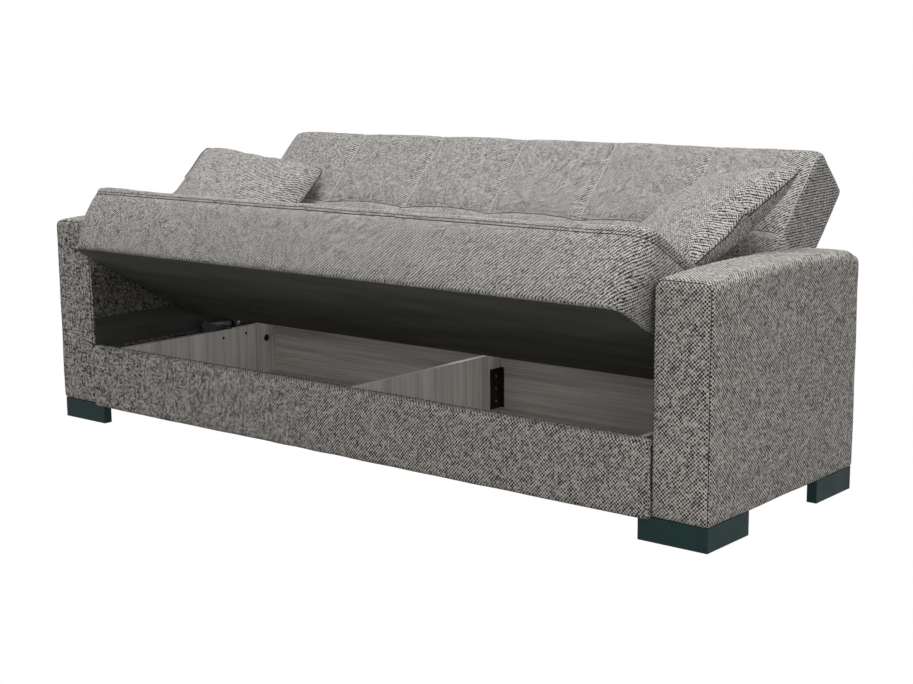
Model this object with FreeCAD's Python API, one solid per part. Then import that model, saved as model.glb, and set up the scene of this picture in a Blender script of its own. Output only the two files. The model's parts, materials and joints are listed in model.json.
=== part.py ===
import FreeCAD, Part
import os
from math import acos, atan2, cos, degrees, hypot, pi, radians, sin, tan

# Three-seat storage sofa with a lift-up seat and a reclining back, shown with the seat raised.
# Millimetres. X runs along the sofa, +Y is the rear, +Z is up, and the floor is z = 0.
# While it is built, y = 0 is the front plane of the arms. The finished pieces are moved along Y at
# the end, so that the origin lies on the floor below the middle of the outer box.

# Whole sofa
overall_width = 2240.0
arm_width = 150.0
arm_depth = 695.0
arm_height = 596.0
arm_crown = 12.0
arm_underside = 57.0
arm_edge_radius = 26.0
arm_rear_radius = 42.0
arm_corner_radius = 10.0
arm_padding = 12.0
liner_height = 90.0
liner_front = 12.0

# Feet, corner blocks with an L-shaped plan
foot_length = 180.0
foot_thickness = 26.0
foot_inset = 4.0
foot_corner_radius = 3.0

# Front panel
panel_bottom = 49.0
panel_top = 232.0
panel_proud = 6.0
panel_rear = 34.0
panel_padding = 16.0
panel_edge_radius = 14.0
panel_wrap = 8.0
panel_rail = 30.0
panel_end_gap = 1.5

# Storage box, held clear of the arms by blocks, so that the seat's steel plates run between them
board = 16.0
floor_board = 10.0
box_to_arm = 53.0
box_rear_inner = 676.0
box_top = 222.0
box_floor_top = 60.0
partition_centre = 18.0
spacer_length = 60.0
spacer_height = 76.0
spacer_bottom = 118.0
spacer_inset = 8.0

# Angle bracket of the partition
bracket_leg = 50.0
bracket_flange = 12.0
bracket_thickness = 3.0
bracket_bottom = 63.0
bracket_height = 117.0

# Common pivot of seat and back
pivot_y = 490.0
pivot_z = 385.0
seat_open_angle = 29.0
back_open_angle = 43.4

# Seat, in its closed position
seat_to_arm = 30.0
seat_front = -85.0
seat_underside = 235.0
seat_thickness = 198.0
seat_rear_gap = 33.0
seat_rear_slope = 25.0
seat_edge_radius = 30.0
seat_front_corner = 60.0
seat_rear_corner = 20.0

# Back, standing upright above the pivot
back_to_arm = 32.0
back_ahead = 52.0
back_behind = 115.0
back_gap = 36.0
back_length = 556.0
back_crown = 14.0
back_edge_radius = 26.0
back_corner_radius = 24.0
rear_panel_thickness = 6.0

# Upholstery and the frames inside it
cover_thickness = 4.0
cloth_thickness = 1.5
rail_thickness = 25.0
rail_height = 60.0
slat_width = 62.0
slat_thickness = 12.0
slat_count = 9

# Hinge plates
plate = 3.0
plate_gap = 1.0
hub_radius = 22.0
bolt_radius = 5.0
bolt_head_radius = 9.0
bolt_head_height = 6.0
nut_height = 8.0
running_clearance = 0.05
pin_end_gap = 2.5

# Fixed hinge plate: a strip along the top of the box side, and the two tabs it is screwed down by
strip_drop = 24.0
strip_half_width = 13.0
strip_beyond_slot = 44.0
tab_ahead = 22.0
tab_behind = 70.0
brace_behind = 60.0
rear_tab_length = 26.0

# Arms of seat and back
seat_arm_reach = 175.0
seat_arm_heel = 45.0
seat_arm_foot_radius = 16.0
lever_end_radius = 13.0
back_arm_reach = 200.0
back_arm_root_radius = 28.0
back_arm_end_radius = 18.0
packing_start = 85.0
packing_end = 195.0
packing_half_width = 11.0

# Lever, slot and lift spring
lever_radius = 168.0
lever_angle = 21.5
lever_pin_radius = 4.0
slot_clearance = 0.4
slot_wall = 11.0
anchor_y = 420.0
anchor_z = 238.0
spring_radius = 8.0
hook_thickness = 2.6
hook_wall = 2.6
hook_neck_radius = 3.0

# Ratchet between seat and back
ratchet_radius = 45.0
tooth_depth = 5.0
tooth_count = 13
tooth_first_angle = 62.0
tooth_last_angle = 192.0
pawl_pivot_radius = 66.0
pawl_pivot_angle = 38.0
pawl_eye_radius = 9.0
pawl_nose_radius = 3.0
pawl_clearance = 0.6
pawl_pin_radius = 3.0

# Throw pillows
pillow_size = 400.0
pillow_thickness = 150.0
pillow_to_arm = 180.0
pillow_ahead = 40.0
pillow_above = 266.0
pillow_spin = 17.5
pillow_turn = 37.9
pillow_tilt = 33.0
pillow_clearance = 0.3

# Worked out from the sizes above
arm_inner = overall_width / 2 - arm_width
arm_outer = overall_width / 2
box_half_width = arm_inner - box_to_arm - board
seat_half_width = arm_inner - seat_to_arm
back_half_width = arm_inner - back_to_arm
seat_plate_x = seat_half_width
back_plate_x = seat_plate_x + plate + plate_gap
base_plate_x = back_plate_x + plate + plate_gap
outboard_x = base_plate_x + plate
V = FreeCAD.Vector
UP = V(0, 0, 1)
ALONG = V(1, 0, 0)
PIVOT = V(0, pivot_y, pivot_z)
hub = (pivot_y, pivot_z)

nodes = {}


def box(x0, x1, y0, y1, z0, z1):
    return Part.makeBox(x1 - x0, y1 - y0, z1 - z0, V(x0, y0, z0))


def on_plane(plane, a, b):
    """A point of the YZ, XZ or XY plane."""
    if plane == "yz":
        return V(0, a, b)
    if plane == "xz":
        return V(a, 0, b)
    return V(a, b, 0)


def outline(plane, corners, bulges=None):
    """Closed flat face. A corner is (a, b, radius); bulges moves the middle of the edge after a corner."""
    bulges = bulges or {}
    count = len(corners)
    starts = []
    middles = []
    ends = []
    for i, (a, b, radius) in enumerate(corners):
        before = corners[i - 1]
        after = corners[(i + 1) % count]
        back_length_here = hypot(before[0] - a, before[1] - b)
        next_length = hypot(after[0] - a, after[1] - b)
        u = ((before[0] - a) / back_length_here, (before[1] - b) / back_length_here)
        w = ((after[0] - a) / next_length, (after[1] - b) / next_length)
        half = acos(max(-1.0, min(1.0, u[0] * w[0] + u[1] * w[1]))) / 2
        reach = radius / tan(half)
        middle_reach = radius / sin(half) - radius
        bisector = (u[0] + w[0], u[1] + w[1])
        size = hypot(*bisector)
        starts.append(on_plane(plane, a + u[0] * reach, b + u[1] * reach))
        middles.append(on_plane(plane, a + bisector[0] / size * middle_reach, b + bisector[1] / size * middle_reach))
        ends.append(on_plane(plane, a + w[0] * reach, b + w[1] * reach))
    edges = []
    for i in range(count):
        if corners[i][2] > 0:
            edges.append(Part.Arc(starts[i], middles[i], ends[i]).toShape())
        first = ends[i]
        last = starts[(i + 1) % count]
        if (last - first).Length < 1e-6:
            continue
        if i in bulges:
            lift = on_plane(plane, *bulges[i])
            edges.append(Part.Arc(first, (first + last) * 0.5 + lift, last).toShape())
        else:
            edges.append(Part.LineSegment(first, last).toShape())
    return Part.Face(Part.Wire(edges))


def prism(face, start, length, direction):
    """Pushes a flat face out along a direction, from start on."""
    moved = face.copy()
    moved.translate(direction * start)
    return moved.extrude(direction * length)


def plate_from(face, x0, thickness=plate):
    return prism(face, x0, thickness, ALONG)


def disc(centre, radius):
    wire = Part.Wire(Part.Circle(V(0, *centre), ALONG, radius).toShape())
    return Part.Face(wire)


def link(c1, r1, c2, r2):
    """Flat bar with round ends in the YZ plane, tapering from radius r1 to r2."""
    run = hypot(c2[0] - c1[0], c2[1] - c1[1])
    heading = atan2(c2[1] - c1[1], c2[0] - c1[0])
    side = acos((r1 - r2) / run)

    def rim(c, r, angle):
        return V(0, c[0] + r * cos(angle), c[1] + r * sin(angle))

    edges = [
        Part.LineSegment(rim(c1, r1, heading - side), rim(c2, r2, heading - side)).toShape(),
        Part.Arc(rim(c2, r2, heading - side), rim(c2, r2, heading), rim(c2, r2, heading + side)).toShape(),
        Part.LineSegment(rim(c2, r2, heading + side), rim(c1, r1, heading + side)).toShape(),
        Part.Arc(rim(c1, r1, heading + side), rim(c1, r1, heading + pi), rim(c1, r1, heading - side)).toShape(),
    ]
    return Part.Face(Part.Wire(edges))


def arc_band(centre, radius, half_width, angle0, angle1):
    """Curved slot shape with round ends. Angles are measured from straight down towards the rear."""

    def at(r, angle):
        return V(0, centre[0] + r * sin(radians(angle)), centre[1] - r * cos(radians(angle)))

    middle = (angle0 + angle1) / 2
    inner = radius - half_width
    outer = radius + half_width
    over = degrees(half_width / radius)
    edges = [
        Part.Arc(at(outer, angle0), at(outer, middle), at(outer, angle1)).toShape(),
        Part.Arc(at(outer, angle1), at(radius, angle1 + over), at(inner, angle1)).toShape(),
        Part.Arc(at(inner, angle1), at(inner, middle), at(inner, angle0)).toShape(),
        Part.Arc(at(inner, angle0), at(radius, angle0 - over), at(outer, angle0)).toShape(),
    ]
    return Part.Face(Part.Wire(edges))


def joined(shapes):
    whole = shapes[0]
    if len(shapes) > 1:
        whole = whole.fuse(shapes[1:])
    return whole.removeSplitter()


def rod(x0, x1, centre, radius):
    return Part.makeCylinder(radius, x1 - x0, V(x0, *centre), ALONG)


def mirrored(shape):
    return shape.mirror(V(0, 0, 0), ALONG)


def add(name, *solids):
    """Keeps the pieces of one node together as separate solids."""
    found = []
    for shape in solids:
        found.extend(shape.Solids)
    nodes[name] = found[0] if len(found) == 1 else Part.makeCompound(found)


def add_pair(name, *solids):
    """The right-hand piece and its mirror image on the left."""
    add("right_" + name, *solids)
    add("left_" + name, *[mirrored(s) for s in solids])


def raised(shape):
    """A piece drawn on the closed seat, turned to the open position."""
    turned = shape.copy()
    turned.rotate(PIVOT, ALONG, -seat_open_angle)
    return turned


def reclined(shape):
    """A piece drawn on the back standing straight up, leaned to its rest position."""
    turned = shape.copy()
    turned.rotate(PIVOT, ALONG, -back_open_angle)
    return turned


# Arms
def arm_form(inset):
    """Padded arm: flat sides, rounded top edges and a slightly crowned top. Inside, the edges are square."""
    x0 = arm_inner + inset
    x1 = arm_outer - inset
    y0 = inset
    y1 = arm_depth - inset
    top = arm_height - inset
    low = arm_underside
    rear = arm_rear_radius - inset
    edge = arm_edge_radius if inset == 0 else 0
    corner = arm_corner_radius if inset == 0 else 0
    across = outline("xz", [(x0, low, 0), (x1, low, 0), (x1, top + arm_crown, edge), (x0, top + arm_crown, edge)])
    along = outline(
        "yz",
        [(y0, low, 0), (y1, low, 0), (y1, top, rear), (y0, top, corner)],
        {2: (0, arm_crown)},
    )
    plan = outline("xy", [(x0, y0, corner), (x1, y0, corner), (x1, y1, corner), (x0, y1, corner)])
    form = prism(across, 0, arm_depth, V(0, 1, 0))
    form = form.common(prism(along, x0, x1 - x0, ALONG))
    return form.common(prism(plan, low, top + arm_crown, UP))


def arms():
    outer = arm_form(0.0)
    inner = arm_form(arm_padding)
    add_pair("arm_cover", outer.cut(inner))
    x0 = arm_inner + arm_padding
    x1 = arm_outer - arm_padding
    y0 = arm_padding
    y1 = arm_depth - arm_padding
    low = arm_underside
    side_top = arm_height - arm_padding - arm_rear_radius
    bottom = box(x0, x1, y0, y1, low, low + board).common(inner)
    inner_side = box(x0, x0 + board, y0, y1, low + board, side_top).common(inner)
    outer_side = box(x1 - board, x1, y0, y1, low + board, side_top).common(inner)
    front = box(x0 + board, x1 - board, y0, y0 + board, low + board, side_top).common(inner)
    rear = box(x0 + board, x1 - board, y1 - board, y1, low + board, side_top).common(inner)
    top = box(x0, x1, y0, y1, side_top, side_top + board).common(inner)
    add_pair("arm_boards", bottom, inner_side, outer_side, front, rear, top)
    pad = inner.common(box(x0, x1, y0, y1, side_top + board, arm_height + arm_crown))
    add_pair("arm_top_pad", pad)
    liner = box(arm_inner - plate_gap, arm_inner, liner_front, box_rear_inner, box_top, box_top + liner_height)
    add_pair("arm_liner", liner)


# Feet
def feet():
    x1 = arm_outer - foot_inset
    x0 = x1 - foot_length
    plan = [
        (x0, foot_inset, 0),
        (x1, foot_inset, foot_corner_radius),
        (x1, foot_inset + foot_length, 0),
        (x1 - foot_thickness, foot_inset + foot_length, 0),
        (x1 - foot_thickness, foot_inset + foot_thickness, 0),
        (x0, foot_inset + foot_thickness, 0),
    ]
    front = prism(outline("xy", plan), 0, arm_underside, UP)
    rear = front.mirror(V(0, arm_depth / 2, 0), V(0, 1, 0))
    add_pair("front_foot", front)
    add_pair("rear_foot", rear)


# Front panel
def front_panel():
    reach = arm_inner - panel_end_gap
    y0 = -panel_proud
    wood_front = y0 + panel_padding
    profile = [
        (y0, panel_bottom, 6.0),
        (panel_rear, panel_bottom, 2.0),
        (panel_rear, panel_top, panel_edge_radius),
        (y0, panel_top, panel_edge_radius),
    ]
    outer = prism(outline("yz", profile), -reach, 2 * reach, ALONG)
    low = panel_bottom + panel_wrap
    high = panel_top - panel_edge_radius
    wood = box(-reach, reach, wood_front, panel_rear - cover_thickness, low, high)
    opening = box(-reach, reach, wood_front, panel_rear, low + panel_rail, high - panel_rail)
    feet_under = [nodes["right_front_foot"], nodes["left_front_foot"]]
    add("front_panel_cover", outer.cut(wood).cut(opening).cut(feet_under))
    add("front_panel_board", wood)


# Storage box
def storage_box():
    side_x0 = box_half_width
    side_x1 = box_half_width + board
    depth = box_rear_inner - panel_rear
    low = box_floor_top - floor_board
    side = box(side_x0, side_x1, panel_rear, box_rear_inner + board, low, box_top)
    add_pair("box_side", side)
    rear = box(-side_x0, side_x0, box_rear_inner, box_rear_inner + board, low, box_top)
    add("box_rear_panel", rear)
    part_x0 = partition_centre - board / 2
    part_x1 = partition_centre + board / 2
    add("box_partition", box(part_x0, part_x1, panel_rear, box_rear_inner, low, box_top))
    add("left_box_floor", box(-side_x0, part_x0, panel_rear, box_rear_inner, low, box_floor_top))
    add("right_box_floor", box(part_x1, side_x0, panel_rear, box_rear_inner, low, box_floor_top))
    blocks = []
    for y in (panel_rear + spacer_inset, panel_rear + depth - spacer_length):
        blocks.append(box(side_x1, arm_inner, y, y + spacer_length, spacer_bottom, spacer_bottom + spacer_height))
    add_pair("box_spacers", *blocks)
    return part_x1


def partition_bracket(x):
    top = bracket_bottom + bracket_height
    leg = box(x, x + bracket_thickness, box_rear_inner - bracket_leg, box_rear_inner, bracket_bottom, top)
    flange = box(x, x + bracket_flange, box_rear_inner - bracket_thickness, box_rear_inner, bracket_bottom, top)
    add("partition_bracket", joined([leg, flange]))


# Hinge plates fixed to the box
def lever_point(angle):
    return (pivot_y + lever_radius * sin(radians(angle)), pivot_z - lever_radius * cos(radians(angle)))


def hinge_base():
    """Slotted steel plate beside the seat: hub, two spokes, slot band, foot strip and two tabs."""
    closed_angle = lever_angle + seat_open_angle
    pin_space = lever_pin_radius + slot_clearance
    band = arc_band(hub, lever_radius, pin_space + slot_wall, lever_angle, closed_angle)
    slot = arc_band(hub, lever_radius, pin_space, lever_angle, closed_angle)
    band_low = lever_point(lever_angle)
    band_high = lever_point(closed_angle)
    spoke = pin_space + slot_wall - 1
    half = strip_half_width
    strip_z = box_top - strip_drop + half
    strip_front = anchor_y - tab_ahead
    strip_rear = band_high[0] + strip_beyond_slot
    faces = [
        band,
        link(hub, hub_radius, band_low, spoke),
        link(hub, hub_radius, band_high, spoke),
        link(band_high, spoke, (strip_rear, strip_z), half),
        link((strip_front + half, strip_z), half, (strip_rear, strip_z), half),
        link((anchor_y, anchor_z), half, (anchor_y + brace_behind, strip_z), half),
    ]
    tabs = []
    for y0, y1 in ((strip_front, anchor_y + tab_behind), (strip_rear - rear_tab_length, strip_rear)):
        tab = box(box_half_width, outboard_x, y0, y1, box_top, box_top + plate)
        riser = box(base_plate_x, outboard_x, y0, y1, strip_z, box_top + plate)
        tabs.append(joined([tab, riser]))
    web = joined([plate_from(f, base_plate_x) for f in faces] + tabs)
    web = web.cut(plate_from(slot, base_plate_x))
    web = web.cut(rod(base_plate_x, outboard_x, hub, bolt_radius))
    web = web.cut(rod(base_plate_x, outboard_x, (anchor_y, anchor_z), lever_pin_radius))
    add_pair("hinge_base", web)
    anchor = rod(base_plate_x, arm_inner - pin_end_gap, (anchor_y, anchor_z), lever_pin_radius)
    add("spring_anchor_pins", anchor, mirrored(anchor))


def pivot_bolt():
    """Bolt through the three plates: round head inside, six-sided nut outside."""
    head = rod(seat_plate_x - bolt_head_height, seat_plate_x, hub, bolt_head_radius)
    shank = rod(seat_plate_x, outboard_x + nut_height, hub, bolt_radius)
    reach = bolt_head_radius / cos(pi / 6)
    corners = [(pivot_y + reach * cos(pi / 3 * i), pivot_z + reach * sin(pi / 3 * i), 0) for i in range(6)]
    nut = plate_from(outline("yz", corners), outboard_x, nut_height)
    add_pair("pivot_bolt", joined([head, shank, nut]))


def lift_spring():
    """Close-wound tension spring between the anchor pin and the lever pin, with an eye at each end."""
    end = lever_point(lever_angle)
    run = hypot(end[0] - anchor_y, end[1] - anchor_z)
    eye_inner = lever_pin_radius + slot_clearance
    eye_outer = eye_inner + hook_wall
    coil = Part.makeCylinder(spring_radius, run - 2 * eye_outer, V(0, 0, eye_outer), UP)
    half = hook_thickness / 2
    pieces = [coil]
    for eye, neck in ((0, eye_outer), (run, run - eye_outer)):
        hook = plate_from(link((0, eye), eye_outer, (0, neck), hook_neck_radius), -half, hook_thickness)
        pieces.append(hook.cut(rod(-half, half, (0, eye), eye_inner)))
    spring = joined(pieces)
    lane = (outboard_x + arm_inner - plate_gap) / 2
    slope = degrees(atan2(end[1] - anchor_z, end[0] - anchor_y))
    spring.rotate(V(0, 0, 0), ALONG, slope - 90)
    spring.translate(V(lane, anchor_y, anchor_z))
    add_pair("lift_spring", spring)


# Seat
def seat_form(inset):
    """Box cushion with rounded top edges, drawn closed and level."""
    top = seat_underside + seat_thickness - inset
    front = seat_front + inset
    rear = pivot_y - seat_rear_gap - inset
    foot = rear - seat_rear_slope
    depth_above = top - pivot_z
    rear_round = depth_above - 1.0
    edge = seat_edge_radius - inset
    half = seat_half_width - inset
    low = seat_underside
    side_profile = [
        (front, low, 0),
        (foot, low, 0),
        (rear, pivot_z, 4.0),
        (rear, top, rear_round),
        (front, top, edge),
    ]
    along = prism(outline("yz", side_profile), -half, 2 * half, ALONG)
    ends = [(-half, low, 0), (half, low, 0), (half, top, edge), (-half, top, edge)]
    depth = rear - front
    across = prism(outline("xz", ends), front, depth, V(0, 1, 0))
    front_corner = seat_front_corner - inset
    rear_corner = seat_rear_corner - inset
    plan_points = [
        (-half, front, front_corner),
        (half, front, front_corner),
        (half, rear, rear_corner),
        (-half, rear, rear_corner),
    ]
    plan = prism(outline("xy", plan_points), low, top - low, UP)
    return along.common(across).common(plan)


def rail_ring(half, y0, y1, z0, z1, form, crossings):
    """Timber rails: front, rear, two ends and some cross rails, trimmed to the form."""
    rails = [
        box(-half, half, y0, y0 + rail_thickness, z0, z1),
        box(-half, half, y1 - rail_thickness, y1, z0, z1),
    ]
    inner0 = y0 + rail_thickness
    inner1 = y1 - rail_thickness
    rails.append(box(-half, -half + rail_thickness, inner0, inner1, z0, z1))
    rails.append(box(half - rail_thickness, half, inner0, inner1, z0, z1))
    for x in crossings:
        rails.append(box(x - rail_thickness / 2, x + rail_thickness / 2, inner0, inner1, z0, z1))
    return [r.common(form) for r in rails]


def seat():
    outer = seat_form(0.0)
    inner = seat_form(cover_thickness)
    add("seat_cover", raised(outer.cut(inner)))
    cloth_top = seat_underside + cloth_thickness
    rail_top = cloth_top + rail_height
    slat_top = rail_top + slat_thickness
    big = overall_width / 2
    add("seat_dust_cloth", raised(inner.common(box(-big, big, -big, big, seat_underside, cloth_top))))
    y0 = seat_front + cover_thickness
    y1 = pivot_y - seat_rear_gap - seat_rear_slope - cover_thickness
    half = seat_half_width - cover_thickness
    third = half / 3
    rails = rail_ring(half, y0, y1, cloth_top, rail_top, inner, (-third, third))
    add("seat_rails", *[raised(r) for r in rails])
    slats = []
    pitch = 2 * (half - slat_width) / (slat_count - 1)
    for i in range(slat_count):
        x = -half + slat_width + i * pitch
        slats.append(box(x - slat_width / 2, x + slat_width / 2, y0, y1, rail_top, slat_top).common(inner))
    add("seat_slats", *[raised(s) for s in slats])
    foam = inner.common(box(-big, big, -big, big, slat_top, seat_underside + seat_thickness))
    add("seat_foam", raised(foam))
    seat_arm(rail_top - rail_height / 2)


def seat_arm(rail_middle):
    """Steel arm on the seat's end: hub, rail foot, rear lever, with a triangular window."""
    foot_front = (pivot_y - seat_arm_reach, rail_middle)
    foot_rear = (pivot_y - seat_arm_heel, rail_middle)
    foot = seat_arm_foot_radius
    lever = lever_point(lever_angle + seat_open_angle)
    pawl_reach = radians(pawl_pivot_angle)
    pawl_pivot = (pivot_y - pawl_pivot_radius * cos(pawl_reach), pivot_z - pawl_pivot_radius * sin(pawl_reach))
    faces = [
        link(hub, hub_radius, foot_front, foot),
        link(hub, hub_radius, foot_rear, foot),
        link(foot_rear, foot, foot_front, foot),
        link(hub, hub_radius, lever, lever_end_radius),
        link(hub, hub_radius, pawl_pivot, pawl_eye_radius),
    ]
    arm = joined([plate_from(f, seat_plate_x) for f in faces])
    x0 = seat_plate_x
    x1 = seat_plate_x + plate
    arm = arm.cut(rod(x0, x1, hub, bolt_radius + running_clearance))
    arm = arm.cut(rod(x0, x1, lever, lever_pin_radius))
    arm = arm.cut(rod(x0, x1, pawl_pivot, pawl_pin_radius))
    add_pair("seat_arm", raised(arm))
    lever_pin = raised(rod(seat_plate_x, arm_inner - pin_end_gap, lever, lever_pin_radius))
    add("lever_pins", lever_pin, mirrored(lever_pin))
    pawl_pin = raised(rod(seat_plate_x, back_plate_x + plate, pawl_pivot, pawl_pin_radius))
    add("pawl_pins", pawl_pin, mirrored(pawl_pin))
    nose = (pivot_y - ratchet_radius - pawl_clearance - pawl_nose_radius, pivot_z)
    pawl = plate_from(link(pawl_pivot, pawl_eye_radius, nose, pawl_nose_radius), back_plate_x)
    pawl = pawl.cut(rod(back_plate_x, back_plate_x + plate, pawl_pivot, pawl_pin_radius + running_clearance))
    add_pair("pawl", raised(pawl))
    turned = PIVOT + FreeCAD.Rotation(ALONG, -seat_open_angle).multVec(V(0, *pawl_pivot) - PIVOT)
    print("pawl pivot before the shift", turned)


# Back
def back_form(inset):
    """Thick back cushion standing straight up above the pivot, a little higher in the middle."""
    front = pivot_y - back_ahead + inset
    rear = pivot_y + back_behind
    low = pivot_z + back_gap + inset
    top = pivot_z + back_length - inset
    edge = back_edge_radius - inset
    half = back_half_width - inset
    round_low = back_ahead - inset
    crest = top + back_crown
    side_profile = [
        (front, low, round_low),
        (rear, low, 8.0),
        (rear, crest, edge),
        (front, crest, edge),
    ]
    along = prism(outline("yz", side_profile), -half, 2 * half, ALONG)
    corner = back_corner_radius - inset
    ends = [(-half, low, corner), (half, low, corner), (half, top, corner), (-half, top, corner)]
    across = prism(outline("xz", ends, {2: (0, back_crown)}), front, rear - front, V(0, 1, 0))
    plan_points = [(-half, front, corner), (half, front, corner), (half, rear, 4.0), (-half, rear, 4.0)]
    plan = prism(outline("xy", plan_points), low, crest - low, UP)
    return along.common(across).common(plan)


def back():
    outer = back_form(0.0)
    inner = back_form(cover_thickness)
    big = overall_width / 2
    rear = pivot_y + back_behind
    sky = pivot_z + back_length + back_crown
    rear_slice = box(-big, big, rear - rear_panel_thickness, rear, pivot_z, sky)
    rear_panel = inner.common(rear_slice)
    add("back_cover", reclined(outer.cut(inner)))
    add("back_rear_panel", reclined(rear_panel))
    frame_rear = rear - rear_panel_thickness
    frame_front = frame_rear - rail_height
    slat_front = frame_front - slat_thickness
    half = back_half_width - cover_thickness
    low = pivot_z + back_gap + cover_thickness
    top = pivot_z + back_length - cover_thickness
    rails = [
        box(-half, half, frame_front, frame_rear, low, low + rail_thickness),
        box(-half, half, frame_front, frame_rear, top - rail_thickness, top),
    ]
    inner_low = low + rail_thickness
    inner_high = top - rail_thickness
    third = half / 3
    for x in (-half + rail_thickness / 2, -third, third, half - rail_thickness / 2):
        rails.append(box(x - rail_thickness / 2, x + rail_thickness / 2, frame_front, frame_rear, inner_low, inner_high))
    add("back_rails", *[reclined(r.common(inner)) for r in rails])
    slats = []
    pitch = 2 * (half - slat_width) / (slat_count - 1)
    for i in range(slat_count):
        x = -half + slat_width + i * pitch
        slats.append(box(x - slat_width / 2, x + slat_width / 2, slat_front, frame_front, low, top).common(inner))
    add("back_slats", *[reclined(s) for s in slats])
    foam = inner.common(box(-big, big, -big, slat_front, pivot_z, sky))
    add("back_foam", reclined(foam))
    back_arm(frame_rear - rail_height / 2 - pivot_y)


def back_arm(behind):
    """Steel arm on the back's end, with ratchet teeth round the front and underside of its hub."""
    end = (pivot_y + behind, pivot_z + back_arm_reach)
    root = ratchet_radius - tooth_depth

    def rim(radius, angle):
        """Angle from straight up, growing towards the front and down."""
        return V(0, pivot_y - radius * sin(radians(angle)), pivot_z + radius * cos(radians(angle)))

    pitch = (tooth_last_angle - tooth_first_angle) / tooth_count
    teeth = []
    for i in range(tooth_count):
        start = tooth_first_angle + i * pitch
        points = [rim(root - 2, start), rim(root, start), rim(ratchet_radius, start + pitch), rim(root - 2, start + pitch)]
        teeth.append(Part.Face(Part.makePolygon(points + points[:1])))
    faces = [disc(hub, root), link(hub, back_arm_root_radius, end, back_arm_end_radius)] + teeth
    arm = joined([plate_from(f, back_plate_x) for f in faces])
    arm = arm.cut(rod(back_plate_x, back_plate_x + plate, hub, bolt_radius + running_clearance))
    add_pair("back_arm", reclined(arm))
    slope = behind / back_arm_reach
    corners = []
    for up, side in ((packing_start, -1), (packing_start, 1), (packing_end, 1), (packing_end, -1)):
        corners.append((pivot_y + slope * up + side * packing_half_width, pivot_z + up, 0))
    packing = plate_from(outline("yz", corners), back_half_width, back_plate_x - back_half_width)
    add_pair("back_packing", reclined(packing))


# Throw pillows
def pillow():
    """Square pillow of two crossed lens shapes with knife edges, pressed flat where it lies on the seat and back."""
    half = pillow_size / 2
    rise = pillow_thickness / 2
    upper = Part.Arc(V(-half, 0, 0), V(0, 0, rise), V(half, 0, 0)).toShape()
    lower = Part.Arc(V(half, 0, 0), V(0, 0, -rise), V(-half, 0, 0)).toShape()
    lens = prism(Part.Face(Part.Wire([upper, lower])), -half, pillow_size, V(0, 1, 0))
    crossed = lens.copy()
    crossed.rotate(V(0, 0, 0), UP, 90)
    form = lens.common(crossed)
    form.rotate(V(0, 0, 0), UP, pillow_spin)
    form.rotate(V(0, 0, 0), ALONG, pillow_tilt)
    form.rotate(V(0, 0, 0), UP, -pillow_turn)
    form.translate(V(arm_inner - pillow_to_arm, pivot_y - pillow_ahead, pivot_z + pillow_above))
    form = form.cut(raised(seat_form(-pillow_clearance)))
    form = form.cut(reclined(back_form(-pillow_clearance)))
    add_pair("pillow", form)


def export():
    """Moves every piece along Y to the middle of the outer box and writes one file per node."""
    os.makedirs("parts", exist_ok=True)
    whole = Part.makeCompound(list(nodes.values()))
    bounds = whole.optimalBoundingBox(False)
    shift = -(bounds.YMin + bounds.YMax) / 2
    print("shift along Y", round(shift, 3), "bounds", bounds)
    for name, shape in nodes.items():
        moved = shape.copy()
        moved.translate(V(0, shift, 0))
        moved.exportStep("parts/" + name + ".step")
        print(name, len(shape.Solids), "solids", "valid" if shape.isValid() else "NOT VALID", round(shape.Volume / 1000))
    print(len(nodes), "nodes")


arms()
feet()
front_panel()
bracket_x = storage_box()
partition_bracket(bracket_x)
hinge_base()
pivot_bolt()
lift_spring()
seat()
back()
pillow()
export()
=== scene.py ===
import json
from math import atan2, cos, exp, pi, radians, sin

import bpy
import numpy as np
from mathutils import Matrix, Vector, noise
from mathutils.bvhtree import BVHTree

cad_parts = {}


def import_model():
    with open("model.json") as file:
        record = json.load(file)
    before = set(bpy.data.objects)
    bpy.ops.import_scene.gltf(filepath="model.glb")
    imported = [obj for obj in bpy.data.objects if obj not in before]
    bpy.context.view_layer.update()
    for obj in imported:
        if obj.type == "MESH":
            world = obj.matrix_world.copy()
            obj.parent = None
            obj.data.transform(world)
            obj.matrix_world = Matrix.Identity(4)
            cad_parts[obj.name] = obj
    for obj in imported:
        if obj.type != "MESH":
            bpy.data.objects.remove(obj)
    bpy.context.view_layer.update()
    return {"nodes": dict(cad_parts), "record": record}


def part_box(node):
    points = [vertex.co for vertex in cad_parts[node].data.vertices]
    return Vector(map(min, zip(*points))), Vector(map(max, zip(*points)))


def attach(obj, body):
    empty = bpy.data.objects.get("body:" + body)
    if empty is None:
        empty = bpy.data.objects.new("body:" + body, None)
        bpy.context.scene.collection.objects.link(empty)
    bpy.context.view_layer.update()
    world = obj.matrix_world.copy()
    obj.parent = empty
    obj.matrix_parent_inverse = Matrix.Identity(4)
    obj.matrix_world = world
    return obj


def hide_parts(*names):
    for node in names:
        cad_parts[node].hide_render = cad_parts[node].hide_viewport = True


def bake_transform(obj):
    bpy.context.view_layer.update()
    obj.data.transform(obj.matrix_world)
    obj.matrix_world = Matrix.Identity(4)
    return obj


# A storage sofa with its seat lifted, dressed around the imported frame. Metres, +Z up, front towards -Y.
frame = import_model()
record = frame["record"]
node_slot = {part["node"]: part["material_slot"] for part in record["subparts"]}
joint = {entry["name"]: entry for entry in record["behaviour"]["joints"]}
pivot = Vector(joint["seat_lift"]["pos_m"])

# Turn of seat and back about the pivot, from the positions in which they are drawn
seat_turn = radians(29.0)
back_turn = radians(43.4)

# Stitching
seam_radius = 0.0012
welt_radius = 0.0018
end_welt_radius = 0.0016
groove_width = 0.007

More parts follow.
